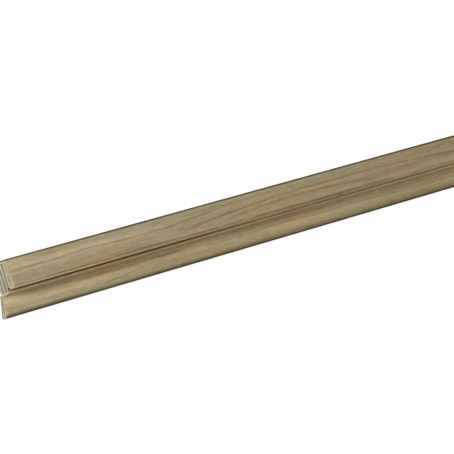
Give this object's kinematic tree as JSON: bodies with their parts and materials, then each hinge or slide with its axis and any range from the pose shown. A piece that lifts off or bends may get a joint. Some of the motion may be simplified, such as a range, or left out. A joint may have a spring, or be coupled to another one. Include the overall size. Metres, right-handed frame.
{
  "type": "profile moulding",
  "caption": "Hollow plastic profile moulding with a wood-look front: a flat upper band ending in a rounded lip over a recessed lower band.",
  "frame": {"origin": "middle of the footprint, at floor level, with the piece lying on its back", "axes": "+X along the length, +Y towards the edge of the upper band, +Z out of the front face"},
  "size_m": [0.9, 0.03, 0.023],
  "materials": {
    "decor_plastic": "rigid plastic with a printed grey-brown wood grain, matt"
  },
  "bodies": {
    "root": {"moulding": "decor_plastic"}
  },
  "joints": []
}
